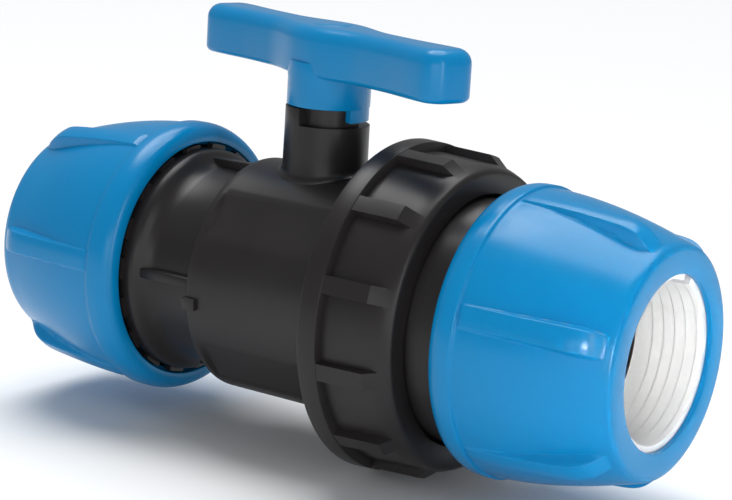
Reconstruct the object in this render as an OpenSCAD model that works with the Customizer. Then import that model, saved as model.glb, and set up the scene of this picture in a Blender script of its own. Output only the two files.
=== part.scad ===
// Plastic ball valve for polyethylene pipe: a compression end on each side,
// a union on the right hand side, and a T-handle on top.
// +X runs along the pipe to the union side, +Z up the stem, origin at the ball centre.
// The handle stands a few degrees off fully open.

/* [Pipe] */
// outside diameter of the pipe gripped at each end (mm)
pipe_od = 63; // [50:1:76]
// radial play of the pipe in its sockets (mm)
pipe_play = 0.4; // [0.25:0.05:0.6]
// free bore through the ball and the passages (mm)
flow_bore = 50; // [40:1:54]

/* [Body] */
// wall of the ball chamber outside its cavity (mm)
chamber_wall = 8.4; // [7:0.1:12]
// wall of the body neck outside the pipe socket (mm)
neck_wall = 10.1; // [8:0.1:10.5]
// body left between the seat pocket and the stopped pipe (mm)
stop_wall = 11.1; // [8:0.1:14]
// depth at which the pipe end stops, inward of each mouth plane (mm)
pipe_stop = 16.2; // [12:0.2:18]
// wall of the stem tower at its rim (mm)
tower_wall = 6.65; // [5.5:0.05:8]
// height of the tower rim above the top of the ball (mm)
tower_height = 37.2; // [34:0.2:44]
// depth of the handle stop notch below the tower rim (mm)
notch_depth = 7; // [5:0.5:8]

/* [Compression ends] */
// length of each compression nut (mm)
nut_length = 73.2; // [60:0.2:88]
// wall of a compression nut at its rim, outside its bore (mm)
nut_wall = 9.9; // [9:0.1:14]
// number of wings round each compression nut
nut_wings = 6; // [4:2:8]
// turn of the wings on the fixed side nut (degrees)
left_wing_turn = 5; // [0:1:60]
// turn of the wings on the union side nut (degrees)
right_wing_turn = 17; // [0:1:60]
// wall between the pipe ring groove and the compression thread crest (mm)
thread_wall = 10.8; // [9:0.1:12]
// radial clearance between a nut and its thread crest (mm)
thread_clear = 0.4; // [0.3:0.05:0.6]
// thickness of the clinch ring at its narrow end (mm)
clinch_wall = 5.8; // [4:0.1:7]
// thickness of the nut's end wall in front of the clinch ring (mm)
nut_face = 2.6; // [2:0.1:4]
// half angle of the clinch ring cone (degrees)
clinch_angle = 9.5; // [7:0.5:11]
// number of teeth on the collar inside each nut mouth
collar_teeth = 18; // [12:2:24]

/* [Union] */
// how far the union nut reaches back over the end of the body (mm)
union_reach = 21.6; // [19:0.1:23]
// length of the union nut (mm)
union_length = 39.1; // [34:0.1:48]
// wall of the union nut at its rim, outside its bore (mm)
union_wall = 7.9; // [7:0.1:12]
// number of grip ribs round the union nut
union_ribs = 12; // [8:2:16]
// turn of the grip ribs (degrees)
union_rib_turn = 17; // [0:1:30]
// thickness of the union flange on the tailpiece (mm)
flange_thick = 8; // [6:0.5:10]
// length of the tailpiece from its flange to the nut mouth (mm)
tail_length = 22.4; // [20:0.1:30]

/* [Ball and stem] */
// diameter of the ball (mm)
ball_od = 78; // [70:1:94]
// gap between the ball and each seat face (mm)
ball_gap = 0.08; // [0.02:0.01:0.1]
// diameter of the stem shaft (mm)
stem_d = 21.8; // [18:0.2:27]
// radial running clearance of the stem in the tower (mm)
stem_clear = 0.05; // [0.02:0.01:0.1]

/* [Handle] */
// overall length of the handle bar (mm)
bar_length = 161.6; // [130:0.2:220]
// height of the handle bar (mm)
bar_height = 20.8; // [16:0.1:26]
// width of the handle bar near its ends (mm)
bar_width = 23; // [18:0.5:30]
// how far the handle stands from fully open (degrees)
handle_turned = 17; // [0:1:30]

/* [Hidden] */
$fn = 96;
eps = 0.02;
open_end = 400;
seat_fit = 0.05;
ring_fit = 0.03;
o_ring_fit = 0.04;
slide_fit = 0.1;
// pipe and passage radii
socket_r = pipe_od / 2 + pipe_play;
flow_r = flow_bore / 2;
// compression end, measured from the mouth plane toward the pipe end
counterbore_floor = 24.8;
pipe_o_section = 6;
counterbore_r = socket_r + pipe_o_section + 2 * o_ring_fit;
thrust_back = counterbore_floor + pipe_o_section + 0.2;
nose_at = thrust_back + 5.8;
thrust_front = nose_at + 3.7;
thrust_r = counterbore_r + 4;
neck_r = socket_r + neck_wall;
crest_r = counterbore_r + thread_wall;
nut_bore_r = crest_r + thread_clear;
mouth_r = nut_bore_r + 1.7;
tooth_r = mouth_r - 0.4;
collar_r = crest_r - 0.3;
collar_length = 3;
nut_r = nut_bore_r + nut_wall;
nut_waist = nut_r - 1.2;
nut_taper = 12.4;
nut_band = 13;
nut_lip = 3.3;
clinch_back = thrust_front + slide_fit;
clinch_front = nut_length - nut_face - 0.3;
clinch_front_r = socket_r + clinch_wall;
clinch_back_r = clinch_front_r + (clinch_front - clinch_back) * tan(clinch_angle);
cone_fit = 0.1;
end_bore_r = socket_r + 2.7;
clinch_split = 5;
clinch_groove = 4;
wing_width = 8;
rib_width = 7.2;
// ball, seats and cavity
ball_r = ball_od / 2;
cavity_r = ball_r + 2.5;
seat_bore_r = flow_r + 1;
seat_contact_r = seat_bore_r + 3.93;
seat_front = sqrt(pow(ball_r, 2) - pow(seat_contact_r, 2));
seat_back = seat_front + 11;
seat_r = seat_bore_r + 8;
pocket_r = seat_r + seat_fit;
pocket_floor = seat_back + 2.5;
cavity_left = seat_front + 2;
cavity_right = seat_front + 7;
cushion_inner = seat_bore_r + 1;
cushion_outer = seat_r - 1;
slot_thickness = 8;
slot_fit = 0.1;
slot_floor = ball_r - 8.5;
tang_width = stem_d + 0.2;
tang_foot = slot_floor + 0.5;
// body
chamber_r = cavity_r + chamber_wall;
chamber_start = cavity_left + 4.2;
left_mouth = pocket_floor + stop_wall + pipe_stop;
flat_start = chamber_start - 4.7;
flat_depth = 1.5;
// seat carrier screwed into the union side
carrier_r = cavity_r + 2.4;
carrier_bore_r = carrier_r + 0.1;
carrier_nose_r = cavity_r - 0.6;
carrier_left = cavity_left;
carrier_right = pocket_floor + 19.5;
carrier_o_section = 3.6;
carrier_o_x = pocket_floor + 7.5;
carrier_groove_r = carrier_bore_r - carrier_o_section - 2 * o_ring_fit;
carrier_key_depth = 5;
carrier_key_width = 8;
carrier_recess_r = flow_r + 11;
// union side
body_end = carrier_right + 4;
union_start = body_end - union_reach;
union_end = union_start + union_length;
union_thread_r = max(carrier_bore_r + 16, mouth_r + 9.1);
union_bore_r = union_thread_r + thread_clear;
union_r = union_bore_r + union_wall;
union_o_section = 3.6;
union_o_r = carrier_bore_r + 6;
flange_left = body_end + 0.5;
flange_right = flange_left + flange_thick;
flange_r = union_thread_r - 3;
lip_left = flange_right + 0.1;
lip_bore_r = mouth_r + 0.5;
right_mouth = flange_right + tail_length;
tail_r = lip_bore_r - 1.4;
// tower and stem
tower_bore_r = stem_d / 2 + stem_clear;
tower_r = tower_bore_r + tower_wall;
tower_foot_r = tower_r + 0.2;
tower_top = ball_r + tower_height;
shoulder_r = stem_d / 2 + 2.1;
shoulder_low = ball_r + 0.3;
washer_low = ball_r + 4;
washer_top = washer_low + 1.5;
washer_inner = stem_d / 2 + 0.1;
washer_outer = shoulder_r;
stem_o_section = 2.1;
stem_groove_r = stem_d / 2 - stem_o_section + stem_clear - 2 * o_ring_fit;
stem_groove_width = 2.7;
stem_o_lower_z = washer_top + 7.5;
stem_o_upper_z = stem_o_lower_z + 8;
shaft_top = stem_o_upper_z + 6;
drive_square = (stem_d - 2.4) / sqrt(2);
// handle
collar_low = tower_top + 0.4;
handle_collar_r = tower_r - 0.3;
bar_low = tower_top + 12.9;
bar_top = bar_low + bar_height;
stem_top = bar_low + 4;
socket_top = stem_top + 2;
screw_foot = stem_top - 18;
screw_head_low = stem_top + 4;
cap_low = bar_top - 6;
cap_r = 8;
screw_r = 3;
screw_head_r = 5.5;
screw_fit = 0.05;
notch_inner = tower_bore_r + 2.05;
notch_from = -95;
notch_to = 87;
tab_drop = notch_depth - 1.7;
tab_inner = notch_inner + 0.4;
tab_outer = handle_collar_r - 0.3;
tab_from = -4;
tab_to = 86;
drive_fit = 0.06;
bar_corner = 7;

// a turned solid about X from [radius, x] points
module turned(points) rotate([0, 90, 0]) rotate_extrude() polygon(points);

// a plain ring about X
module tube_x(x0, x1, inner, outer)
  turned([[inner, x0], [outer, x0], [outer, x1], [inner, x1]]);

// a solid bar of material about X
module rod_x(x0, x1, r) translate([x0, 0, 0]) rotate([0, 90, 0]) cylinder(h = x1 - x0, r = r);

// a round rubber ring about X
module o_ring_x(x, mean_r, section)
  translate([x, 0, 0]) rotate([0, 90, 0]) rotate_extrude()
    translate([mean_r, 0]) circle(d = section, $fn = 24);

// puts a compression end, drawn from its mouth toward +X, on one side
module left_end() translate([-left_mouth, 0, 0]) mirror([1, 0, 0]) children();
module right_end() translate([right_mouth, 0, 0]) children();

// bars through the axis, one for each pair of wings, ribs or teeth
module spokes(count, width, x0, x1, start)
  for (i = [0 : count / 2 - 1])
    rotate([start + i * 360 / count, 0, 0])
      translate([x0, -open_end / 2, -width / 2]) cube([x1 - x0, open_end, width]);

// ---- compression end: the male spigot, mouth plane at x = 0, pipe end to +X
module spigot_solid(neck_from) {
  turned([[0, neck_from], [neck_r, neck_from], [neck_r, -9], [neck_r + 0.8, -6.6], [neck_r + 2.6, -4.6],
          [collar_r - 1.5, -3.6], [collar_r, -2.4], [collar_r, collar_length],
          [crest_r - 2, collar_length], [crest_r - 2, collar_length + 2],
          [crest_r, collar_length + 4], [crest_r, nose_at - 3],
          [crest_r - 2.4, nose_at], [0, nose_at]]);
  intersection() {
    tube_x(0, collar_length, neck_r, tooth_r);
    spokes(collar_teeth, tooth_r * PI / collar_teeth, 0, collar_length, 5);
  }
}

module spigot_bores() {
  rod_x(-pipe_stop, nose_at + 1, socket_r);
  rod_x(counterbore_floor, nose_at + 1, counterbore_r);
}

// ---- compression nut: mouth at x = 0, pipe end at x = nut_length
function bell(at) = nut_waist - nut_taper * pow(max(at - nut_band, 0) / (nut_length - nut_band), 1.75);

module nut_shell() {
  shoulder = nut_length - nut_lip;
  turned(concat(
    [[0, 0], [nut_r - 4.3, 0], [nut_r - 1.6, 1.4], [nut_r - 0.4, 3.4], [nut_r, 5.6], [nut_r, nut_band - 1]],
    [for (i = [0 : 8]) let (at = nut_band + i * (shoulder - nut_band) / 8) [bell(at), at]],
    [[bell(shoulder) - 2, nut_length - 1], [bell(shoulder) - 4, nut_length], [0, nut_length]]));
}

module nut_wing_band()
  turned([[nut_bore_r, 10], [nut_r, 10], [nut_r, 16], [nut_r - 0.6, nut_length - 43],
          [nut_r - 2.2, nut_length - 24], [nut_r - 3.7, nut_length - 14], [nut_r - 6.4, nut_length - 9],
          [nut_r - 10.6, nut_length - 5], [nut_r - 12.5, nut_length - 3.8], [nut_r - 16, nut_length - 3.8]]);

module compression_nut_shape(wing_turn) {
  difference() {
    union() {
      nut_shell();
      intersection() {
        nut_wing_band();
        spokes(nut_wings, wing_width, 10, nut_length, -wing_turn);
      }
    }
    turned([[0, -1], [mouth_r, -1], [mouth_r, 4], [nut_bore_r, 5.7], [nut_bore_r, nose_at],
            [clinch_back_r + cone_fit + 1.2, nose_at + 1.5],
            [clinch_back_r + cone_fit + 1.2, clinch_back - 0.6],
            [clinch_back_r + cone_fit + 0.6 * tan(clinch_angle), clinch_back - 0.6],
            [clinch_front_r + cone_fit - 0.3 * tan(clinch_angle), clinch_front + 0.3],
            [end_bore_r, clinch_front + 0.3], [end_bore_r, nut_length + 1], [0, nut_length + 1]]);
  }
}

// ---- split ring that bites on the pipe
module clinch_ring_shape() {
  difference() {
    turned([[socket_r, clinch_back], [clinch_back_r, clinch_back],
            [clinch_front_r, clinch_front], [socket_r, clinch_front]]);
    for (at = [clinch_back + 3 : clinch_groove : clinch_front - 4])
      translate([at, 0, 0]) rotate([0, 90, 0]) rotate_extrude()
        polygon([[socket_r - 1, -0.2], [socket_r + 0.9, 1.4], [socket_r + 0.9, 1.7], [socket_r - 1, 1.8]]);
    rotate([70, 0, 0]) translate([clinch_back - 1, 0, -clinch_split / 2])
      cube([clinch_front - clinch_back + 2, open_end, clinch_split]);
  }
}

module thrust_ring_shape()
  turned([[socket_r, thrust_back], [counterbore_r - ring_fit, thrust_back],
          [counterbore_r - ring_fit, nose_at + ring_fit],
          [thrust_r, nose_at + ring_fit], [thrust_r, thrust_front], [socket_r, thrust_front]]);

module pipe_o_ring_shape()
  o_ring_x(counterbore_floor + pipe_o_section / 2 + o_ring_fit, (socket_r + counterbore_r) / 2, pipe_o_section);

// ---- main body
module chamber_solid() {
  difference() {
    turned([[0, -chamber_start], [chamber_r - 1.6, -chamber_start], [chamber_r, -chamber_start + 1.6],
            [chamber_r, union_start + 1.6], [0, union_start + 1.6]]);
    for (a = [50, -53], s = [1, -1])
      rotate([s > 0 ? a : 180 - a, 0, 0])
        translate([-flat_start, -open_end - chamber_r + flat_depth, -open_end / 2])
          cube([flat_start + union_start + 4, open_end, open_end]);
  }
}

module tower_solid() {
  translate([0, 0, ball_r]) cylinder(h = tower_top - ball_r, r1 = tower_foot_r, r2 = tower_r);
  translate([0, 0, ball_r]) cylinder(h = 14, r1 = tower_foot_r + 9, r2 = tower_foot_r);
}

module stop_notch() {
  difference() {
    rotate([0, 0, notch_from]) translate([0, 0, tower_top - notch_depth])
      rotate_extrude(angle = notch_to - notch_from) square([tower_r + 5, notch_depth + 5]);
    cylinder(h = open_end, r = notch_inner);
  }
}

module valve_body() color([0.17, 0.16, 0.16]) {
  difference() {
    union() {
      chamber_solid();
      left_end() spigot_solid(chamber_start - left_mouth);
      tower_solid();
      // neck ribs along the fixed side
      intersection() {
        tube_x(-left_mouth + 2, -chamber_start + 1, neck_r - 3, neck_r + 4);
        spokes(4, 4.5, -left_mouth + 2, -chamber_start + 1, 6);
      }
      // union collar carrying the large thread
      turned([[0, union_start + 1], [union_thread_r - 2.2, union_start + 1],
              [union_thread_r, union_start + 3.2],
              [union_thread_r, body_end - 1.5], [union_thread_r - 1.5, body_end], [0, body_end]]);
      // small lugs on the mould line
      for (s = [1, -1]) {
        rotate([s > 0 ? -6 : 186, 0, 0])
          translate([-chamber_start + 1, -chamber_r - 1.6, -2.5]) cube([9, 6, 5]);
        rotate([s > 0 ? 4 : 176, 0, 0])
          translate([union_start - 9, -chamber_r - 1.6, -2.5]) cube([8, 6, 5]);
      }
    }
    left_end() spigot_bores();
    rod_x(-left_mouth, body_end + 1, flow_r);
    rod_x(-pocket_floor, 0, pocket_r);
    rod_x(-cavity_left, cavity_right + 1, cavity_r);
    rod_x(cavity_right, body_end + 1, carrier_bore_r);
    cylinder(h = open_end, r = tower_bore_r);
    cylinder(h = washer_top + eps, r = shoulder_r + 0.2);
    stop_notch();
  }
}

// ---- union
module union_tailpiece() color([0.17, 0.16, 0.16]) {
  difference() {
    union() {
      turned([[0, flange_left], [flange_r - 0.8, flange_left], [flange_r, flange_left + 0.8],
              [flange_r, flange_right - 1], [flange_r - 1, flange_right], [tail_r, flange_right],
              [tail_r, right_mouth - 1.2], [tail_r - 0.8, right_mouth - 0.4], [0, right_mouth - 0.4]]);
      right_end() spigot_solid(flange_right - right_mouth);
    }
    right_end() spigot_bores();
    rod_x(flange_left - 1, right_mouth, flow_r);
    tube_x(flange_left - 1, body_end + union_o_section + 2 * o_ring_fit,
           union_o_r - union_o_section / 2 - 0.3, union_o_r + union_o_section / 2 + 0.3);
  }
}

module union_nut() color([0.17, 0.16, 0.16]) {
  difference() {
    union() {
      turned([[0, union_start], [union_r - 0.8, union_start], [union_r, union_start + 0.8],
              [union_r, union_start + 5.6], [union_r - 1, union_start + 6.8],
              [union_r - 4.2, union_start + 8.2],
              [union_r - 5.6, union_end - 13], [union_r - 6, union_end - 7],
              [union_r - 7.4, union_end - 1.6], [union_r - 8.4, union_end], [0, union_end]]);
      intersection() {
        turned([[union_bore_r - 10, union_start + 4], [union_r - 1, union_start + 4],
                [union_r - 1.6, union_end - 12],
                [union_r - 6.2, union_end - 7.5], [union_bore_r - 10, union_end - 7.5]]);
        spokes(union_ribs, rib_width, union_start + 2, union_end, -union_rib_turn);
      }
    }
    turned([[0, union_start - 1], [union_bore_r + 1, union_start - 1], [union_bore_r + 1, union_start],
            [union_bore_r, union_start + 1.2],
            [union_bore_r, lip_left], [lip_bore_r, lip_left], [lip_bore_r, union_end + 1], [0, union_end + 1]]);
  }
}

module union_o_ring() color([0.08, 0.08, 0.08])
  o_ring_x(body_end + union_o_section / 2 + o_ring_fit, union_o_r, union_o_section);

// ---- ball, seats and carrier
module ball() color([0.93, 0.93, 0.91]) rotate([0, 0, -handle_turned])
  difference() {
    sphere(r = ball_r);
    rod_x(-ball_r - 1, ball_r + 1, flow_r);
    translate([-slot_thickness / 2 - slot_fit, -ball_r, slot_floor])
      cube([slot_thickness + 2 * slot_fit, 2 * ball_r, ball_r]);
  }

module seat_shape() difference() {
  turned([[seat_bore_r, -seat_back], [seat_r - 0.5, -seat_back], [seat_r, -seat_back + 0.5],
          [seat_r, -seat_front], [seat_bore_r, -seat_front]]);
  sphere(r = ball_r + ball_gap);
}

module cushion_shape()
  turned([[cushion_inner, -pocket_floor + ring_fit], [cushion_outer, -pocket_floor + ring_fit],
          [cushion_outer + 0.6, -(pocket_floor + seat_back) / 2], [cushion_outer, -seat_back - ring_fit],
          [cushion_inner, -seat_back - ring_fit], [cushion_inner - 0.6, -(pocket_floor + seat_back) / 2]]);

module seat_left() color([0.95, 0.95, 0.93]) seat_shape();
module seat_right() color([0.95, 0.95, 0.93]) mirror([1, 0, 0]) seat_shape();
module seat_cushion_left() color([0.08, 0.08, 0.08]) cushion_shape();
module seat_cushion_right() color([0.08, 0.08, 0.08]) mirror([1, 0, 0]) cushion_shape();

module seat_carrier() color([0.23, 0.22, 0.22])
  difference() {
    turned([[flow_r, carrier_left], [carrier_nose_r - 1, carrier_left], [carrier_nose_r, carrier_left + 1],
            [carrier_nose_r, cavity_right + ring_fit], [carrier_r, cavity_right + ring_fit],
            [carrier_r, carrier_o_x - 2.2], [carrier_groove_r, carrier_o_x - 2.2],
            [carrier_groove_r, carrier_o_x + 2.2],
            [carrier_r, carrier_o_x + 2.2], [carrier_r, carrier_right - 1], [carrier_r - 1, carrier_right],
            [flow_r, carrier_right]]);
    rod_x(carrier_left - 1, pocket_floor, pocket_r);
    rod_x(carrier_right - 2, carrier_right + 1, carrier_recess_r);
    spokes(4, carrier_key_width, carrier_right - carrier_key_depth, carrier_right + 1, 45);
  }

module seat_carrier_o_ring() color([0.08, 0.08, 0.08])
  o_ring_x(carrier_o_x, carrier_bore_r - o_ring_fit - carrier_o_section / 2, carrier_o_section);

// ---- stem
function stem_groove(z) = let (low = z - stem_groove_width / 2, high = z + stem_groove_width / 2)
  [[stem_d / 2, low], [stem_groove_r, low], [stem_groove_r, high], [stem_d / 2, high]];

module stem() color([0.17, 0.16, 0.16]) rotate([0, 0, -handle_turned])
  difference() {
    union() {
      intersection() {
        translate([-slot_thickness / 2, -tang_width / 2, tang_foot])
          cube([slot_thickness, tang_width, shoulder_low - tang_foot + 1]);
        translate([0, 0, tang_foot]) cylinder(h = 20, r = tang_width / 2);
      }
      translate([0, 0, shoulder_low]) cylinder(h = washer_low - shoulder_low, r = shoulder_r);
      rotate_extrude() polygon(concat([[0, washer_low - 1], [stem_d / 2, washer_low - 1]],
        stem_groove(stem_o_lower_z), stem_groove(stem_o_upper_z),
        [[stem_d / 2, shaft_top - 1], [stem_d / 2 - 1, shaft_top], [0, shaft_top]]));
      translate([-drive_square / 2, -drive_square / 2, shaft_top - 1])
        cube([drive_square, drive_square, stem_top - shaft_top + 1]);
    }
    translate([0, 0, screw_foot - 1]) cylinder(h = open_end, r = screw_r + screw_fit);
  }

module stem_washer() color([0.95, 0.95, 0.93]) translate([0, 0, washer_low + ring_fit])
  rotate_extrude() polygon([[washer_inner, 0], [washer_outer, 0],
    [washer_outer, washer_top - washer_low - 2 * ring_fit],
    [washer_inner, washer_top - washer_low - 2 * ring_fit]]);

module stem_o_ring_at(z) color([0.08, 0.08, 0.08]) translate([0, 0, z]) rotate_extrude()
  translate([tower_bore_r - o_ring_fit - stem_o_section / 2, 0]) circle(d = stem_o_section, $fn = 24);

module stem_o_ring_lower() stem_o_ring_at(stem_o_lower_z);
module stem_o_ring_upper() stem_o_ring_at(stem_o_upper_z);

// ---- handle
function corner_arc(cx, cy, r, from) = [for (a = [from : 15 : from + 90]) [cx + r * cos(a), cy + r * sin(a)]];

module bar_plan() {
  half = bar_length / 2;
  w = bar_width / 2;
  b = handle_collar_r;
  polygon(concat(
    corner_arc(half - bar_corner, w - bar_corner, bar_corner, 0),
    [[b + 22, w + 1], [b + 6, b - 2.5], [6, b - 0.3], [-6, b - 0.3], [-b - 6, b - 2.5], [-b - 22, w + 1]],
    corner_arc(-half + bar_corner, w - bar_corner, bar_corner, 90),
    corner_arc(-half + bar_corner, -w + bar_corner, bar_corner, 180),
    [[-b - 22, -w - 1], [-b - 6, -b + 2.5], [-6, -b + 0.3], [6, -b + 0.3], [b + 6, -b + 2.5], [b + 22, -w - 1]],
    corner_arc(half - bar_corner, -w + bar_corner, bar_corner, 270)));
}

module bar_side() {
  half = bar_length / 2;
  rotate([90, 0, 0]) translate([0, 0, -open_end / 2]) linear_extrude(height = open_end)
    polygon([[-half - 1, bar_low + 3], [-half + 3, bar_low], [half - 3, bar_low], [half + 1, bar_low + 3],
             [half + 1, bar_top - 4], [half - 5, bar_top - 1], [handle_collar_r + 20, bar_top],
             [-handle_collar_r - 20, bar_top], [-half + 5, bar_top - 1], [-half - 1, bar_top - 4]]);
}

module handle() color([0.09, 0.53, 0.80]) rotate([0, 0, -handle_turned])
  difference() {
    union() {
      intersection() {
        translate([0, 0, bar_low - 1]) linear_extrude(height = bar_height + 2) bar_plan();
        bar_side();
      }
      translate([0, 0, collar_low]) cylinder(h = bar_low - collar_low + 1, r = handle_collar_r);
      rotate([0, 0, tab_from]) translate([0, 0, collar_low - tab_drop])
        rotate_extrude(angle = tab_to - tab_from)
          translate([tab_inner, 0]) square([tab_outer - tab_inner, tab_drop + 1]);
    }
    translate([-drive_square / 2 - drive_fit, -drive_square / 2 - drive_fit, 0])
      cube([drive_square + 2 * drive_fit, drive_square + 2 * drive_fit, socket_top]);
    cylinder(h = open_end, r = screw_r + 0.3);
    translate([0, 0, screw_head_low]) cylinder(h = open_end, r = cap_r + ring_fit);
  }

module handle_screw() color([0.72, 0.73, 0.75]) rotate([0, 0, -handle_turned])
  difference() {
    union() {
      translate([0, 0, screw_foot]) cylinder(h = screw_head_low - screw_foot + 1, r = screw_r);
      translate([0, 0, screw_head_low + ring_fit]) cylinder(h = 4, r = screw_head_r);
    }
    translate([0, 0, screw_head_low + 1.5]) cylinder(h = 10, r = 2.9, $fn = 6);
  }

module handle_cap() color([0.09, 0.53, 0.80]) rotate([0, 0, -handle_turned])
  translate([0, 0, cap_low]) rotate_extrude()
    polygon([[0, 0], [cap_r, 0], [cap_r, bar_top - cap_low - 0.2], [cap_r - 0.8, bar_top - cap_low + 0.6],
             [0, bar_top - cap_low + 1]]);

// ---- the two compression sets
module compression_nut_left() color([0.09, 0.53, 0.80]) left_end() compression_nut_shape(left_wing_turn);
module compression_nut_right() color([0.09, 0.53, 0.80]) right_end() compression_nut_shape(right_wing_turn);
module clinch_ring_left() color([0.95, 0.95, 0.95]) left_end() clinch_ring_shape();
module clinch_ring_right() color([0.95, 0.95, 0.95]) right_end() clinch_ring_shape();
module thrust_ring_left() color([0.20, 0.19, 0.19]) left_end() thrust_ring_shape();
module thrust_ring_right() color([0.20, 0.19, 0.19]) right_end() thrust_ring_shape();
module pipe_o_ring_left() color([0.08, 0.08, 0.08]) left_end() pipe_o_ring_shape();
module pipe_o_ring_right() color([0.08, 0.08, 0.08]) right_end() pipe_o_ring_shape();

valve_body();
union_tailpiece();
union_nut();
union_o_ring();
ball();
seat_left();
seat_right();
seat_cushion_left();
seat_cushion_right();
seat_carrier();
seat_carrier_o_ring();
stem();
stem_washer();
stem_o_ring_lower();
stem_o_ring_upper();
handle();
handle_screw();
handle_cap();
compression_nut_left();
compression_nut_right();
clinch_ring_left();
clinch_ring_right();
thrust_ring_left();
thrust_ring_right();
pipe_o_ring_left();
pipe_o_ring_right();
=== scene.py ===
# %% [markdown]
# # A compression ball valve for plastic water pipe
# The valve stops or passes water in a 63 mm polyethylene pipe. Its black polypropylene body holds a
# ball with a hole through it. A blue T-handle turns the ball by a quarter turn. At each end a big blue
# nut squeezes a white split ring onto the pipe, and a black union nut lets one side be taken apart.
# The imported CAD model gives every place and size. Here each visible piece gets its rounded edges,
# its ribs and its finish. Nearly every piece is turned, so most cells draw half a cross-section and
# spin it. What isn't round, such as wings and ribs, is pushed out of the spun surface afterwards.

# %% Load the frame
import bisect
import math
import bmesh
import bpy
from mathutils import Matrix, Vector


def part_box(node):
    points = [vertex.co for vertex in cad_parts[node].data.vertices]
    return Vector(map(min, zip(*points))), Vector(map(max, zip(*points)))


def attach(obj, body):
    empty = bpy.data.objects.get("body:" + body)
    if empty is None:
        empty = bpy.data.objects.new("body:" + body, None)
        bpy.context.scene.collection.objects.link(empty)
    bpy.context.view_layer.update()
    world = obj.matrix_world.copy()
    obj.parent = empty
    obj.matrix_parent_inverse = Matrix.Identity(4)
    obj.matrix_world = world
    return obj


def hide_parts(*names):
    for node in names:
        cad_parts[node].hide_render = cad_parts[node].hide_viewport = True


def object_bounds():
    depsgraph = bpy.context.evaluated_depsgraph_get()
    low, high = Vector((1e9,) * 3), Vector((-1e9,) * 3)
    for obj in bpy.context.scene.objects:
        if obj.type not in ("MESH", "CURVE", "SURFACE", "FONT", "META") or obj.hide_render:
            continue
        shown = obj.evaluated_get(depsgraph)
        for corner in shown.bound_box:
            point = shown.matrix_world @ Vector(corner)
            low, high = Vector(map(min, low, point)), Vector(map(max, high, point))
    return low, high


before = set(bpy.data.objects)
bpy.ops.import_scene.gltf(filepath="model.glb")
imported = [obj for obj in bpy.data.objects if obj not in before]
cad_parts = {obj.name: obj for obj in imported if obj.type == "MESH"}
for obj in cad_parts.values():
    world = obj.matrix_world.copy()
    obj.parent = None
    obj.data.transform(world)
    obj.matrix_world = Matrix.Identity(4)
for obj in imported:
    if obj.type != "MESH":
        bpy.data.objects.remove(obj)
cad_low, cad_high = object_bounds()
MM = 0.001

# %% [markdown]
# ## Places taken from the frame
# Each nut's mouth is the plane it is measured from. Reading the planes from the boxes of the CAD
# nodes keeps the pieces on their seats even if a length in the CAD model changes.

# %% Read the reference planes
def span(node, axis=0):
    low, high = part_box(node)
    return low[axis] / MM, high[axis] / MM


LEFT_MOUTH = span("compression_nut_left")[1]
RIGHT_MOUTH, RIGHT_END = span("compression_nut_right")
NUT_LENGTH = RIGHT_END - RIGHT_MOUTH
NUT_R = span("compression_nut_right", 2)[1]
UNION_START, UNION_END = span("union_nut")
UNION_R = span("union_nut", 2)[1]
BODY_END = span("valve_body")[1]
CHAMBER_WALL_AND_GAP = 10.9
CHAMBER_R = span("ball", 2)[1] + CHAMBER_WALL_AND_GAP
TOWER_TOP = span("valve_body", 2)[1]
BAR_ABOVE_TOWER = 12.9
BAR_LOW = TOWER_TOP + BAR_ABOVE_TOWER
BAR_TOP = span("handle", 2)[1]
HANDLE_TURNED = math.radians(-17)
PIPE_STOP = 16.2
print("mouths at", round(LEFT_MOUTH, 1), round(RIGHT_MOUTH, 1), "nut length", round(NUT_LENGTH, 1))

# %% [markdown]
# ## Finishes
# Polypropylene straight from a mould is satin: the steel it was cast against leaves a fine even
# grain, and the flow of the melt leaves faint broad changes in gloss. So each plastic gets a noise
# of about half a millimetre for the grain and another of about 30 mm for the gloss. One small
# function adds a node, sets its values and links its inputs.

# %% Helpers for materials
def from_hex(code):
    """An sRGB hex colour as the linear values that shaders work in."""
    parts = [int(code[i:i + 2], 16) / 255 for i in (1, 3, 5)]
    return [c / 12.92 if c <= 0.04045 else ((c + 0.055) / 1.055) ** 2.4 for c in parts] + [1.0]


def add_node(tree, kind, inputs=None, **settings):
    node = tree.nodes.new(kind)
    for key, value in settings.items():
        setattr(node, key, value)
    for key, value in (inputs or {}).items():
        if isinstance(value, bpy.types.NodeSocket):
            tree.links.new(value, node.inputs[key])
        else:
            node.inputs[key].default_value = value
    return node


def per_metre(size_mm):
    """The noise scale whose features are about this many millimetres across."""
    return 1.0 / (size_mm * MM)


FLOW_MM = 32
SHINE = 0.32


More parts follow.
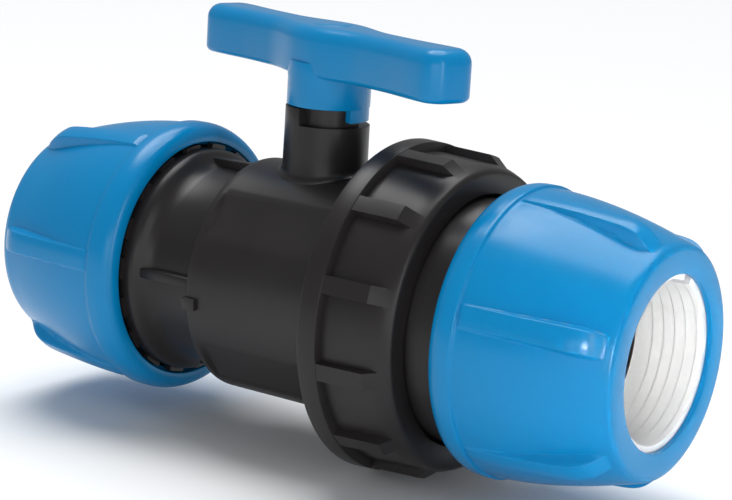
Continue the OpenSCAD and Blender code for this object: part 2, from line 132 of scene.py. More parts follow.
def moulded(name, dark, light, rough, grain_mm=0.6, grain_depth=0.012, soft=0.0, ior=1.49, shine=SHINE):
    """A moulded plastic: two near tones, a fine grain and slow changes in gloss."""
    mat = bpy.data.materials.new(name)
    mat.use_nodes = True
    tree = mat.node_tree
    tree.nodes.clear()
    place = add_node(tree, "ShaderNodeTexCoord")
    here = place.outputs["Object"]
    flow = add_node(tree, "ShaderNodeTexNoise",
                    {"Vector": here, "Scale": per_metre(FLOW_MM), "Detail": 3.0})
    tone = add_node(tree, "ShaderNodeMix",
                    {"Factor": flow.outputs["Fac"], "A": from_hex(dark), "B": from_hex(light)},
                    data_type="RGBA")
    gloss = add_node(tree, "ShaderNodeMapRange",
                     {"Value": flow.outputs["Fac"], "From Min": 0.2, "From Max": 0.8,
                      "To Min": rough - 0.03, "To Max": rough + 0.03})
    grain = add_node(tree, "ShaderNodeTexNoise",
                     {"Vector": here, "Scale": per_metre(grain_mm), "Detail": 2.0})
    bump = add_node(tree, "ShaderNodeBump", {"Height": grain.outputs["Fac"], "Strength": 0.35,
                                             "Distance": grain_depth * MM * 2})
    skin = add_node(tree, "ShaderNodeBsdfPrincipled",
                    {"Base Color": tone.outputs["Result"], "Roughness": gloss.outputs["Result"],
                     "Normal": bump.outputs["Normal"], "IOR": ior, "Specular IOR Level": shine,
                     "Subsurface Weight": soft, "Subsurface Radius": (0.004, 0.004, 0.004),
                     "Subsurface Scale": 0.5})
    add_node(tree, "ShaderNodeOutputMaterial", {"Surface": skin.outputs["BSDF"]})
    return mat

# %% [markdown]
# ## The plastics of this valve
# Black and blue polypropylene (PP) share one recipe and differ in colour and gloss. The split rings
# are acetal (POM), white, hard and slightly waxy, so a little light goes into them. The seats are
# PTFE and the ball is polished polypropylene.

# %% Make the plastics
BLACK_PP = moulded("black_polypropylene_moulded", "#1E1B1B", "#282525", 0.34,
                   grain_mm=0.5, grain_depth=0.014)
BLUE_PP = moulded("blue_polypropylene_moulded", "#007EB8", "#0086C1", 0.24, grain_mm=0.8,
                  grain_depth=0.004, shine=0.3)
WHITE_POM = moulded("white_acetal_moulded", "#F1F1EF", "#FAFAF8", 0.33,
                    grain_mm=0.8, grain_depth=0.004, soft=0.12, ior=1.48)
WHITE_PTFE = moulded("white_ptfe_machined", "#E9E9E4", "#F3F3EF", 0.42,
                     grain_mm=0.4, grain_depth=0.008, soft=0.1, ior=1.36)
BALL_PP = moulded("white_polypropylene_polished", "#E4E4E0", "#EFEFEC", 0.16,
                  grain_mm=2.0, grain_depth=0.002, soft=0.05)
NBR = moulded("black_nitrile_rubber_moulded", "#121212", "#1C1B1B", 0.55,
              grain_mm=0.3, grain_depth=0.01, ior=1.52)
print("plastics:", [m.name for m in (BLACK_PP, BLUE_PP, WHITE_POM, WHITE_PTFE, BALL_PP, NBR)])

# %% [markdown]
# ## Stainless steel for the handle screw
# A turned screw shows rings finer than a tenth of a millimetre. A wave texture would be lost at this
# scale, so a noise squeezed along the screw stands for them, drawn at half a millimetre.

# %% Make the steel
def turned_steel(name):
    mat = bpy.data.materials.new(name)
    mat.use_nodes = True
    tree = mat.node_tree
    tree.nodes.clear()
    place = add_node(tree, "ShaderNodeTexCoord")
    squeeze = add_node(tree, "ShaderNodeMapping",
                       {"Vector": place.outputs["Object"], "Scale": (0.1, 0.1, 4.0)})
    rings = add_node(tree, "ShaderNodeTexNoise",
                     {"Vector": squeeze.outputs["Vector"], "Scale": per_metre(2.0)})
    gloss = add_node(tree, "ShaderNodeMapRange",
                     {"Value": rings.outputs["Fac"], "To Min": 0.22, "To Max": 0.4})
    skin = add_node(tree, "ShaderNodeBsdfPrincipled", {"Base Color": from_hex("#C9CACC"), "Metallic": 1.0,
                                                       "Roughness": gloss.outputs["Result"]})
    add_node(tree, "ShaderNodeOutputMaterial", {"Surface": skin.outputs["BSDF"]})
    return mat


STEEL = turned_steel("stainless_steel_turned")
print("steel:", STEEL.name)

# %% [markdown]
# ## Turning a cross-section
# Half a cross-section is drawn as a closed outline in (along the axis, radius) and made one face, so
# that the bevel operator can round its corners with a true radius. The face is then dropped, long
# edges that need it are divided, and the outline is spun. Corners take their radius from a third
# number. Spinning is exact where the real part was turned, and needs no boolean.

# %% The turning helpers
def outline_mesh(points):
    """A closed outline in the X-Z plane, with each corner (x, r, radius) rounded by the bevel operator."""
    bm = bmesh.new()
    corners = [bm.verts.new((p[0] * MM, 0, p[1] * MM)) for p in points]
    bm.faces.new(corners)
    radii = sorted({p[2] for p in points if len(p) > 2})
    for radius in radii:
        some = [v for v, p in zip(corners, points) if len(p) > 2 and p[2] == radius]
        bmesh.ops.bevel(bm, geom=some, offset=radius * MM, offset_type="OFFSET",
                        segments=2 if radius < 0.7 else 4, profile=0.5, affect="VERTICES",
                        clamp_overlap=False, material=-1)
    bmesh.ops.delete(bm, geom=list(bm.faces), context="FACES_ONLY")
    return bm


def divide(bm, longest, above_r):
    """Cuts the outline's edges that lie above a radius into lengths no longer than this."""
    for edge in [e for e in bm.edges if min(v.co.z for v in e.verts) > above_r * MM]:
        cuts = int(edge.calc_length() / (longest * MM))
        if cuts:
            bmesh.ops.subdivide_edges(bm, edges=[edge], cuts=cuts)


def spun(points, steps, longest=None, above_r=0.0):
    """The outline spun once round X."""
    bm = outline_mesh(points)
    if longest:
        divide(bm, longest, above_r)
    bmesh.ops.spin(bm, geom=list(bm.verts) + list(bm.edges), cent=(0, 0, 0), axis=(1, 0, 0), dvec=(0, 0, 0),
                   angle=math.tau, steps=steps, use_merge=True, use_normal_flip=False, use_duplicate=False)
    bmesh.ops.remove_doubles(bm, verts=list(bm.verts), dist=1e-6)
    return bm


def finish_piece(bm, name, material, body, nodes=(), sharp=32):
    """Closes a piece: normals out, smooth shading with its real edges kept, and its place on a body."""
    bmesh.ops.recalc_face_normals(bm, faces=list(bm.faces))
    mesh = bpy.data.meshes.new(name)
    bm.to_mesh(mesh)
    bm.free()
    mesh.materials.append(material)
    mesh.shade_smooth()
    mesh.set_sharp_from_angle(angle=math.radians(sharp))
    piece = bpy.data.objects.new(name, mesh)
    bpy.context.collection.objects.link(piece)
    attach(piece, body)
    if nodes:
        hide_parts(*nodes)
    tris = sum(len(p.vertices) - 2 for p in mesh.polygons)
    print(f"{name}: {tris} triangles, {material.name}")
    return piece


# %% [markdown]
# ## Pushing ribs and wings out of a turned surface
# A rib has to grow out of its surface with a soft foot, which a separate block can't do. So the spun
# columns of points are first gathered where the ribs stand, and each point is then given a new radius
# from a small rule for that piece. The columns are gathered by the table `stops`, from the middle of
# a rib (0) to the middle of the gap (1).

# %% The helper for repeated features
def smooth(t):
    t = min(max(t, 0.0), 1.0)
    return t * t * (3 - 2 * t)


def repeat_round(bm, count, stops, phase, rule):
    """Gathers the columns round each of `count` features and lets rule(x, r, degrees) move them."""
    half = 180.0 / count
    marks = [s[0] for s in stops] + [1.0]
    angles = [s[1] for s in stops] + [half]
    for v in bm.verts:
        r = math.hypot(v.co.y, v.co.z)
        turn = math.degrees(math.atan2(v.co.y, v.co.z))
        k = round(turn / (2 * half))
        local = turn - k * 2 * half
        f = min(abs(local) / half, 1.0)
        i = min(max(bisect.bisect_left(marks, f), 1), len(marks) - 1)
        a = angles[i - 1] + (angles[i] - angles[i - 1]) * (f - marks[i - 1]) / (marks[i] - marks[i - 1])
        a = math.copysign(a, local)
        x, r = rule(v.co.x / MM, r / MM, a)
        where = math.radians(90 - (a + k * 2 * half) - 90 + phase)
        v.co = Vector((x * MM, -r * MM * math.cos(where), r * MM * math.sin(where)))


def to_place(bm, mouth, flip):
    """Moves a compression end drawn from its mouth at x = 0 to the right, or turns it to the left."""
    for v in bm.verts:
        v.co.x = mouth * MM + (-v.co.x if flip else v.co.x)


# %% [markdown]
# ## The compression nuts
# Each nut is a thick bell with six wings for gripping by hand or with a strap wrench. It swells from
# the rim and closes round the pipe end, and the wings keep the rim's radius, so they stand further out
# toward the pipe end, where each rolls over in a rounded nose. The bell is spun with fine steps, and
# the wings are raised with a rounded crown and a hollow foot.

# %% Build both compression nuts
END_BORE = 34.6


def bell_r(s):
    """Radius of the nut between its wings, s mm from the mouth."""
    return NUT_R - 1.1 - 12.4 * (max(s - 11, 0) / (NUT_LENGTH - 11)) ** 1.75


def wing_r(s):
    """Radius of a wing's crest, which rolls over near the pipe end."""
    slope = 5.2 * (max(s - 14, 0) / (NUT_LENGTH - 14)) ** 1.7
    nose = 9.0 * (max(s - NUT_LENGTH + 20, 0) / 17.0) ** 3
    return NUT_R - 0.05 - slope - nose


def nut_rule(s, r, a):
    if s < 12.4 or r < 43.0 or r < bell_r(s) - 2.2:
        return s, r
    away = abs(math.radians(a)) * r
    rise = max(wing_r(s) - bell_r(s), 0.0)
    foot = 0.8 + 0.24 * rise
    bump = 1 - smooth((away - 3.8) / foot)
    crown = 0.25 * min(rise, 1.0) * (min(away, 3.4) / 3.4) ** 2
    root = smooth((s - 12.4) / 1.2)
    return s, r + root * (rise * bump - crown * bump)


def compression_nut(name, node, mouth, flip, phase, body):
    steps = [12.6 + (NUT_LENGTH - 16.6) * i / 12 for i in range(13)]
    end = NUT_LENGTH
    bell = [(s, bell_r(s)) for s in steps[:-1]]
    rim = [(0, 51.2, 0.6), (0, NUT_R - 3.4, 2.6), (4.6, NUT_R, 3.0), (11.9, NUT_R, 0.4),
           (12.3, NUT_R - 0.9, 0.2)]
    end_wall = [(end - 2.2, bell_r(end - 3), 1.6), (end, bell_r(end) - 0.6, 1.6), (end, END_BORE, 0.6),
                (end - 2.5, END_BORE, 0.3), (end - 2.5, 37.85)]
    inside = [(41.2, 42.75), (40.9, 43.3, 0.4), (38.2, 43.3, 0.4), (36.8, 49.3, 0.4), (5.6, 49.3, 0.4),
              (4, 51.2, 0.4)]
    points = rim + bell + end_wall + inside
    bm = spun(points, steps=6 * 60, longest=1.6, above_r=43.5)
    repeat_round(bm, 6, [(0, 0), (0.13, 3.3), (0.33, 4.7), (0.55, 7.6)], phase, nut_rule)
    to_place(bm, mouth, flip)
    return finish_piece(bm, name, BLUE_PP, body, [node], sharp=40)


NUT_RIGHT = compression_nut("nut_right_bell", "compression_nut_right", RIGHT_MOUTH, False, 17, "right_nut")
NUT_LEFT = compression_nut("nut_left_bell", "compression_nut_left", LEFT_MOUTH, True, 5, "left_nut")

# %% [markdown]
# ## Threads
# The nuts pull along by a coarse right-hand thread, which shows when a nut is run back. A thread is a
# small four-sided section spun several turns while it steps along the axis by one pitch a turn. Both
# ends of the valve use a right-hand thread, so the left one is drawn with the other hand and turned
# over with its spigot.

# %% The helper for a helical ridge
PITCH = 6.0


def swept(bm, section, axis, angle, steps, climb=(0, 0, 0)):
    """Spins a closed section part of a turn and closes both ends."""
    corners = [bm.verts.new(p) for p in section]
    face = bm.faces.new(corners)
    bmesh.ops.spin(bm, geom=[face], cent=(0, 0, 0), axis=axis, dvec=climb, angle=angle, steps=steps,
                   use_merge=False, use_normal_flip=False, use_duplicate=False)
    bmesh.ops.holes_fill(bm, edges=[e for e in bm.edges if e.is_boundary], sides=0)


def thread_ridge(bm, x0, turns, root, crest, hand):
    """A trapezoid spun round X while it climbs, closed at both ends."""
    section = [(x0 - 1.5, root), (x0 - 0.6, crest), (x0 + 0.6, crest), (x0 + 1.5, root)]
    steps = int(48 * turns)
    swept(bm, [(x * MM, 0, r * MM) for x, r in section], (1, 0, 0), hand * math.tau * turns, steps,
          climb=(PITCH * turns / steps * MM, 0, 0))


# %% [markdown]
# ## Small moulded blocks
# Lugs and neck ribs are short straight blocks standing on a round wall. Each is a cube set to size,
# with its edges bevelled, then turned round the pipe axis to its angle.

# %% The helper for blocks on a round wall
def block(bm, x0, x1, r0, r1, width, degrees, edge=0.5):
    """A bevelled block from radius r0 to r1, at an angle above the -Y side."""
    made = bmesh.ops.create_cube(bm, size=1.0)["verts"]
    bmesh.ops.scale(bm, vec=((x1 - x0) * MM, (r1 - r0) * MM, width * MM), verts=made)
    bmesh.ops.translate(bm, vec=((x0 + x1) / 2 * MM, -(r0 + r1) / 2 * MM, 0), verts=made)
    edges = list({e for v in made for e in v.link_edges})
    out = bmesh.ops.bevel(bm, geom=edges, offset=edge * MM, offset_type="OFFSET", segments=2, profile=0.5,
                          affect="EDGES", clamp_overlap=True, material=-1)
    made = list({v for f in out["faces"] for v in f.verts} | {v for v in made if v.is_valid})
    bmesh.ops.rotate(bm, verts=made, cent=(0, 0, 0), matrix=Matrix.Rotation(math.radians(-degrees), 3, "X"))


# %% [markdown]
# ## The spigots
# Each compression end is a spigot: a rounded collar at the nut's mouth, the thread, and a wide bore
# for the pipe with a step for the rubber ring. The collar carries small teeth like a ratchet. They
# are sharp, so the ring of teeth is its own spun piece with the columns gathered at the tooth sides.

# %% The ring of teeth
def tooth_rule(s, r, a):
    if r < 47.5:
        return s, r
    return (s, 50.4) if abs(a) < 5.2 else (s, 48.3)


def tooth_ring(name, mouth, flip, body, node):
    points = [(0.0, 46.0), (0.0, 48.5), (3.0, 48.5), (3.0, 46.0)]
    bm = spun(points, steps=18 * 12)
    repeat_round(bm, 18, [(0, 0), (0.5, 5.0), (0.667, 5.4)], 3, tooth_rule)
    to_place(bm, mouth, flip)
    return finish_piece(bm, name, BLACK_PP, body, [node], sharp=30)


TEETH_LEFT = tooth_ring("left_collar_teeth", LEFT_MOUTH, True, "body", "valve_body")
TEETH_RIGHT = tooth_ring("right_collar_teeth", RIGHT_MOUTH, False, "tailpiece", "union_tailpiece")

# %% [markdown]
# ## The valve body
# The body is one black moulding: the left spigot, a neck with four ribs, the round chamber over the
# ball with flats for a wrench, and the collar that carries the union thread. The whole of it is one
# closed outline, inside and out, spun once. The flats are cut by holding back the radius of the points
# that lie within their angle, and they stop short of the chamber's left face.

# %% Turn the body
FLAT_DEPTH = CHAMBER_R - 1.6
COLLAR_START = UNION_START + 1.2
FLATS = (50, -53, 130, -127)


def body_rule(x, r, a):
    if r < 44.5 or not -26.6 < x < COLLAR_START + 0.4:
        return x, r
    for middle in FLATS:
        off = abs((90 - a - middle + 180) % 360 - 180)
        if off < 20:
            return x, min(r, FLAT_DEPTH / math.cos(math.radians(off)))
    return x, r


def spigot_outline(mouth, flip, root):
    """The outer line of a spigot from its neck to its nose, then back inside to the pipe stop."""
    line = root + [(3.0, 48.5, 0.4), (3.0, 46.4, 0.4), (34.0, 46.4, 0.5), (36.8, 44.2, 0.4),
                   (36.8, 38.0, 0.3), (24.8, 38.0), (24.8, 31.95, 0.4), (-PIPE_STOP, 31.95)]
    return [(mouth - p[0] if flip else mouth + p[0],) + tuple(p[1:]) for p in line]


left_line = spigot_outline(LEFT_MOUTH, True, [(-9.5, 42.0, 4.0), (-4.4, 48.5, 2.0)])
chamber_line = [(-31.2, 42.0, 1.0), (-31.2, CHAMBER_R, 1.2), (-27.8, CHAMBER_R), (-26.4, CHAMBER_R),
                (COLLAR_START, CHAMBER_R, 0.4), (COLLAR_START, 57.4, 0.5), (BODY_END - 0.1, 57.4, 1.0),
                (BODY_END - 0.1, 44.0, 0.5)]
cavity_line = [(32.0, 44.0), (32.0, 41.5), (-27.0, 41.5), (-27.0, 34.05), (-38.5, 34.05), (-38.5, 25.0, 0.5),
               (LEFT_MOUTH + PIPE_STOP, 25.0, 0.5)]
body_points = list(reversed(left_line)) + chamber_line + cavity_line
bm = spun(body_points, steps=360)
repeat_round(bm, 1, [(0, 0)], 0, body_rule)
body_shell = finish_piece(bm, "body_shell", BLACK_PP, "body", ["valve_body"], sharp=24)

# %% The body's threads, ribs and lugs
bm = bmesh.new()
thread_ridge(bm, 6.0, 4.6, 46.2, 48.7, -1)
for v in bm.verts:
    v.co.x = LEFT_MOUTH * MM - v.co.x
left_thread = finish_piece(bm, "left_spigot_thread", BLACK_PP, "body", ["valve_body"])

bm = bmesh.new()
thread_ridge(bm, 46.4, 2.2, 57.2, 59.9, 1)
union_thread = finish_piece(bm, "body_union_thread", BLACK_PP, "body", ["valve_body"])

bm = bmesh.new()
for middle in (2, 92, 182, 272):
    block(bm, LEFT_MOUTH + 3.5, -30.0, 39.0, 45.8, 4.4, middle, edge=0.8)
for side in (1, -1):
    flip = 0 if side > 0 else 180
    block(bm, -31.7, -25.2, 46.0, 51.4, 5.0, flip - 6 * side, edge=0.4)
    block(bm, 31.0, 37.0, 46.0, 51.4, 5.4, flip + 4 * side, edge=0.4)
body_lugs = finish_piece(bm, "body_ribs_and_lugs", BLACK_PP, "body", ["valve_body"])

# %% [markdown]
# ## The stem tower
# The tower is a tube that stands on the chamber. It is turned about Z from its own outline. Its foot
# follows the round chamber: the lowest points are lifted to the chamber's curved top, which leaves a
# small even fillet all round. A quarter-turn stop is cut in the rim by lowering its points.

# %% Turn the tower
NOTCH_FLOOR = TOWER_TOP - 7.0
tower_points = [(45.0, 11.0), (TOWER_TOP, 11.0, 0.3), (TOWER_TOP, 13.0), (TOWER_TOP, 13.1),
                (TOWER_TOP, 17.6, 0.5), (NOTCH_FLOOR, 17.6), (NOTCH_FLOOR - 0.4, 17.6), (62.0, 17.65),
                (56.5, 17.7), (52.2, 17.75), (51.2, 18.0), (50.4, 18.6), (49.9, 19.5), (45.0, 19.5)]
bm = spun(tower_points, steps=240)
bmesh.ops.rotate(bm, verts=list(bm.verts), cent=(0, 0, 0), matrix=Matrix.Rotation(math.radians(-90), 3, "Y"))
for v in bm.verts:
    r = math.hypot(v.co.x, v.co.y) / MM
    turn = math.degrees(math.atan2(v.co.y, v.co.x))
    if r > 13.05 and v.co.z / MM > NOTCH_FLOOR and -95 < turn < 87:
        v.co.z = NOTCH_FLOOR * MM
    if v.co.z / MM < 58.0:
        sink = CHAMBER_R - math.sqrt(CHAMBER_R ** 2 - (v.co.y / MM) ** 2)
        v.co.z -= sink * MM * (1 - smooth((v.co.z / MM - 51.5) / 6.0))
bmesh.ops.remove_doubles(bm, verts=list(bm.verts), dist=1e-6)
tower = finish_piece(bm, "stem_tower", BLACK_PP, "body", ["valve_body"], sharp=35)

# %% [markdown]
# ## The union nut
# The union nut is a wide ring with a plain rim on its left, twelve flat ribs and a smooth right-hand
# edge. The panels between the ribs are sunk and lean inward to the right. Each rib ends in a small
# sloped facet. The columns are gathered tightly at the rib sides, so that they stay crisp.

# %% Turn the union nut
PANEL_X0, RIB_END, FACET_END = UNION_START + 9.2, UNION_END - 9.4, UNION_END - 4.6


def panel_r(x):
    return UNION_R - 4.2 - 1.4 * (x - PANEL_X0) / (FACET_END - PANEL_X0)


def union_rule(x, r, a):
    if r < 61.5 or not PANEL_X0 - 0.1 < x < FACET_END + 0.05:
        return x, r
    away = abs(math.radians(a)) * r
    top = UNION_R - 0.9 - 0.9 * (x - PANEL_X0) / (RIB_END - PANEL_X0)
    if x > RIB_END:
        top += (panel_r(x) - top) * (x - RIB_END) / (FACET_END - RIB_END)
    return x, top if away < 3.6 else panel_r(x)


union_points = [(UNION_START, 61.4, 0.8), (UNION_START, UNION_R, 0.9),
                (UNION_START + 8.6, UNION_R - 0.4, 0.4),
                (PANEL_X0, panel_r(PANEL_X0)), (PANEL_X0 + 9, panel_r(PANEL_X0 + 9)),
                (RIB_END, panel_r(RIB_END)), (FACET_END, panel_r(FACET_END)),
                (UNION_END - 1.2, 61.3, 0.8), (UNION_END, 59.9, 0.6), (UNION_END, 51.4, 0.5),
                (70.6, 51.4, 0.4), (70.6, 60.4, 0.5), (UNION_START + 1.2, 60.4, 0.3)]
bm = spun(union_points, steps=12 * 24)
repeat_round(bm, 12, [(0, 0), (0.33, 2.9), (0.5, 3.3)], 17, union_rule)
union_nut = finish_piece(bm, "union_nut_ring", BLACK_PP, "union_nut", ["union_nut"], sharp=28)

# %% [markdown]
# ## The union tailpiece
# The tailpiece is the loose half of the union: a flange that the union nut pulls against the body,
# and the right spigot. Its face has a groove for a rubber ring.

# %% Turn the tailpiece
right_line = spigot_outline(RIGHT_MOUTH, False, [(-0.7, 49.9, 0.6), (-0.7, 48.5)])
flange_line = [(62.6, 25.0, 0.5), (62.6, 47.9, 0.2), (65.7, 47.9), (65.7, 52.1), (62.6, 52.1, 0.2),
               (62.6, 57.0, 0.7), (70.5, 57.0, 0.8), (70.5, 49.9, 0.5)]
tail_points = flange_line + right_line + [(RIGHT_MOUTH - PIPE_STOP, 25.0, 0.5)]
bm = spun(tail_points, steps=240)
tail = finish_piece(bm, "tailpiece_shell", BLACK_PP, "tailpiece", ["union_tailpiece"], sharp=30)

bm = bmesh.new()
thread_ridge(bm, RIGHT_MOUTH + 6.0, 4.6, 46.2, 48.7, 1)
right_thread = finish_piece(bm, "right_spigot_thread", BLACK_PP, "tailpiece", ["union_tailpiece"])

# %% [markdown]
# ## The clinch rings
# A white split ring grips the pipe. Its outside is a cone that matches the nut, and its bore has
# rings of saw teeth that bite the pipe as the nut closes. The section is spun short of a full turn,
# which leaves the split, and the spin's two end faces close it.

# %% Spin the split rings
def clinch_ring(name, node, mouth, flip, body):
    bore = 32.0
    front, back = NUT_LENGTH - 2.9, 40.6
    outer = 37.6 + (front - back) * math.tan(math.radians(9.5))
    section = [(back, bore + 0.5), (back, outer), (front, 37.6), (front, bore + 0.3)]
    for i in range(5):
        at = front - 2.5 - 4.8 * i
        section += [(at, bore), (at - 0.5, bore + 0.3), (at - 3.0, bore + 0.12)]
    bm = bmesh.new()
    gap = math.radians(9)
    start = Matrix.Rotation(math.radians(-25) + gap / 2, 3, "X")
    swept(bm, [start @ Vector((s * MM, 0, r * MM)) for s, r in section], (1, 0, 0), math.tau - gap, 180)
    to_place(bm, mouth, flip)
    return finish_piece(bm, name, WHITE_POM, body, [node], sharp=30)


CLINCH_RIGHT = clinch_ring("clinch_right_split", "clinch_ring_right", RIGHT_MOUTH, False, "right_grip")
CLINCH_LEFT = clinch_ring("clinch_left_split", "clinch_ring_left", LEFT_MOUTH, True, "left_grip")

# %% [markdown]
# ## The handle
# The T-handle is one blue moulding: a bar, widest over its round collar, with soft edges and rounded
# ends. Its outline from above is a rule for the width along the bar, with an arc at each corner. The
# outline is repeated at rising heights, and near the top and the foot it is drawn in along a quarter
# circle, which gives every edge an even radius.

# %% Build the bar
LENGTH_HALF = 80.7
CORNER, TOP_EDGE, LOW_EDGE = 8.5, 6.0, 2.6


def bar_width(x):
    """Half the bar's width, x mm from the stem axis."""
    bulge = 5.6 * (1 - smooth((abs(x) - 2) / 30))
    flare = 1.5 * smooth((abs(x) - LENGTH_HALF + 36) / 26)
    return 10.2 + bulge + flare


def bar_plan():
    """The bar's outline from above, as points with their outward directions."""
    reach = LENGTH_HALF - CORNER
    inner = bar_width(reach) - CORNER
    line = []
    for side in (1, -1):
        for i in range(1, 60):
            x = side * reach * (1 - i / 30)
            slope = (bar_width(x + 0.1) - bar_width(x - 0.1)) / 0.2
            line.append((Vector((x, side * bar_width(x), 0)), Vector((-slope, side, 0)).normalized()))
        for half_turn in (90, 180):
            middle = Vector((-side * reach, (side if half_turn == 90 else -side) * inner, 0))
            for i in range(9):
                at = math.radians(half_turn + i * 90 / 8 + (0 if side > 0 else 180))
                out = Vector((math.cos(at), math.sin(at), 0))
                line.append((middle + CORNER * out, out))
    return line


def bar_mesh():
    """One ring of the outline at each height, drawn in over both rounded edges, bridged and closed."""
    quarter = [math.radians(15 * i) for i in range(7)]
    levels = [(LOW_EDGE * (1 - math.sin(t)), BAR_LOW + LOW_EDGE * (1 - math.cos(t))) for t in quarter]
    levels += [(TOP_EDGE * (1 - math.cos(t)), BAR_TOP - TOP_EDGE * (1 - math.sin(t))) for t in quarter]
    bm = bmesh.new()
    below = None
    for inset, height in levels:
        ring = [bm.verts.new((p - inset * out + Vector((0, 0, height))) * MM) for p, out in bar_plan()]
        if below:
            for i in range(len(ring)):
                bm.faces.new((below[i - 1], below[i], ring[i], ring[i - 1]))
        else:
            bm.faces.new(ring)
        below = ring
    bm.faces.new(below)
    return bm


bm = bar_mesh()
bmesh.ops.rotate(bm, verts=list(bm.verts), cent=(0, 0, 0), matrix=Matrix.Rotation(HANDLE_TURNED, 3, "Z"))
bar = finish_piece(bm, "handle_bar", BLUE_PP, "handle_set", ["handle"], sharp=50)

# %% [markdown]
# ## The handle's collar, stop tab and cap
# Under the bar a round collar sits on the tower. A curved tab hangs from it into the tower's notch and
# stops the handle at fully open and fully shut. A round cap on top covers the screw.

# %% Turn the collar and the cap, spin the tab
def upright(bm):
    bmesh.ops.rotate(bm, verts=list(bm.verts), cent=(0, 0, 0),
                     matrix=Matrix.Rotation(math.radians(-90), 3, "Y"))


collar_low = TOWER_TOP + 0.4
bm = spun([(collar_low, 10.2, 0.3), (collar_low, 17.3, 0.6), (BAR_LOW - 1.2, 17.3), (BAR_LOW + 1.0, 17.6),
           (BAR_LOW + 6.0, 17.0), (BAR_LOW + 6.0, 10.2)], steps=180)
upright(bm)
collar = finish_piece(bm, "handle_collar", BLUE_PP, "handle_set", ["handle"])

bm = bmesh.new()
section = [(13.5, collar_low - 5.2), (17.0, collar_low - 5.2), (17.0, collar_low + 1), (13.5, collar_low + 1)]
start = Matrix.Rotation(HANDLE_TURNED + math.radians(-4), 3, "Z")
swept(bm, [start @ Vector((r * MM, 0, z * MM)) for r, z in section], (0, 0, 1), math.radians(90), 45)
tab = finish_piece(bm, "handle_stop_tab", BLUE_PP, "handle_set", ["handle"])

cap_top = span("handle_cap", 2)[1]
bm = spun([(BAR_TOP - 5.0, 0.05), (BAR_TOP - 5.0, 8.0), (BAR_TOP + 0.2, 8.0, 0.6), (cap_top - 0.5, 4.5, 1.0),
           (cap_top - 0.5, 0.05)], steps=96)
upright(bm)
bmesh.ops.remove_doubles(bm, verts=list(bm.verts), dist=1.2e-4)
cap = finish_piece(bm, "handle_cap_plug", BLUE_PP, "handle_set", ["handle_cap"])

# %% [markdown]
# ## Finishes for the pieces that keep their CAD shape
# The ball, seats, rubber rings, stem and carrier are turned parts that the CAD model already gives
# exactly, and they sit inside the valve. They keep their mesh and take a real material.

# %% Give the inner pieces their materials
inner = {"ball": BALL_PP, "seat_left": WHITE_PTFE, "seat_right": WHITE_PTFE, "stem_washer": WHITE_PTFE,
         "seat_cushion_left": NBR, "seat_cushion_right": NBR, "seat_carrier": BLACK_PP,
         "seat_carrier_o_ring": NBR, "stem": BLACK_PP, "stem_o_ring_lower": NBR,
         "stem_o_ring_upper": NBR, "handle_screw": STEEL,
         "thrust_ring_left": BLACK_PP, "thrust_ring_right": BLACK_PP, "pipe_o_ring_left": NBR,
         "pipe_o_ring_right": NBR, "union_o_ring": NBR}
for node, material in inner.items():
    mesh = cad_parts[node].data
    mesh.materials.clear()
    mesh.materials.append(material)
print("inner pieces finished:", len(inner))

# %% [markdown]
# ## Floor, light and camera
# The valve stands on a plain pale floor in soft studio light. A broad overhead diffuser (a sun with a
# wide angle) fills from above. A soft key hangs above, left and slightly behind. A narrow strip on the
# right draws the thin highlights, and a soft front light opens the black plastic. A small narrow beam
# reaches into the right bore. The surround is white. The view transform is Standard, because the
# default one washes out the blue.

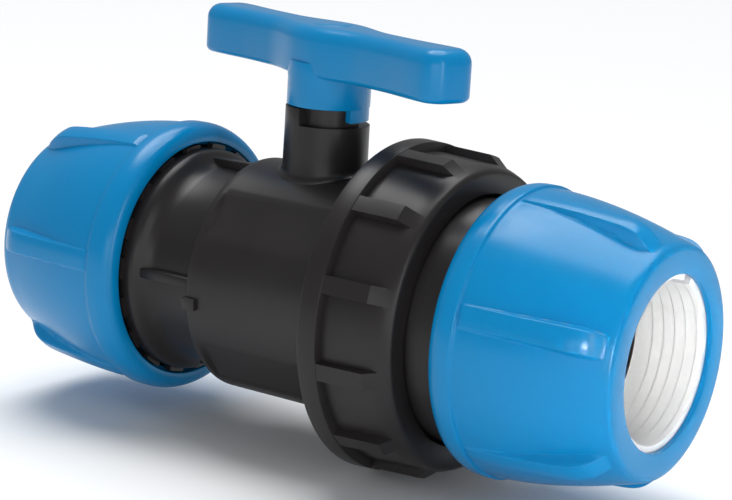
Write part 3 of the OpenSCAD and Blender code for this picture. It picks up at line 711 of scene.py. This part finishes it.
# %% Lay the floor
floor_mat = bpy.data.materials.new("pale_paper_backdrop")
floor_mat.use_nodes = True
paper = floor_mat.node_tree.nodes["Principled BSDF"]
paper.inputs["Base Color"].default_value = from_hex("#F4F5F6")
paper.inputs["Roughness"].default_value = 0.9
bpy.ops.mesh.primitive_plane_add(size=8, location=(0, 0, cad_low[2] - 0.0005))
floor = bpy.context.object
floor.name = "paper_floor"
floor.data.materials.append(floor_mat)

world = bpy.data.worlds.new("white_surround")
bpy.context.scene.world = world
world.use_nodes = True
world.node_tree.nodes["Background"].inputs["Color"].default_value = from_hex("#F6F8FA")
world.node_tree.nodes["Background"].inputs["Strength"].default_value = 0.35


# %% Hang the lights
def softbox(name, place, size, power, aim=(0.01, 0, 0.02), spread=180):
    light = bpy.data.lights.new(name, "AREA")
    light.shape = "RECTANGLE"
    light.size, light.size_y = size
    light.energy = power
    light.spread = math.radians(spread)
    lamp = bpy.data.objects.new(name, light)
    lamp.location = place
    lamp.rotation_euler = (Vector(aim) - Vector(place)).to_track_quat("-Z", "Y").to_euler()
    bpy.context.collection.objects.link(lamp)


softbox("key_softbox", (-0.5, 0.1, 1.2), (0.5, 0.5), 2.0)
softbox("right_strip", (1.1, -0.5, 0.3), (0.08, 0.8), 2.4)
softbox("front_softbox", (0.65, -1.1, 0.2), (1.1, 0.4), 2.6)
softbox("bore_spot", (0.85, -0.62, 0.1), (0.12, 0.12), 0.03, aim=(RIGHT_END * MM, 0.02, 0), spread=9)
sky = bpy.data.lights.new("overhead_diffuser", "SUN")
sky.energy, sky.angle = 2.4, math.radians(50)
overhead = bpy.data.objects.new("overhead_diffuser", sky)
overhead.rotation_euler = (math.radians(-14), math.radians(-10), 0)
bpy.context.collection.objects.link(overhead)

# %% Place the camera
camera_data = bpy.data.cameras.new("camera")
camera_data.lens, camera_data.sensor_width = 108.03, 36.0
camera_data.clip_start = 0.01
camera = bpy.data.objects.new("camera", camera_data)
right = Vector((0.81124, 0.58174, 0.05880))
up = Vector((-0.17144, 0.14051, 0.97512))
back = Vector((0.55901, -0.80114, 0.21372))
turn = Matrix((right, up, back)).transposed().to_4x4()
camera.matrix_world = Matrix.Translation((0.52937, -0.72530, 0.21272)) @ turn
bpy.context.collection.objects.link(camera)
bpy.context.scene.camera = camera
bpy.context.scene.view_settings.view_transform = "Standard"
print("camera lens", camera_data.lens, "mm")
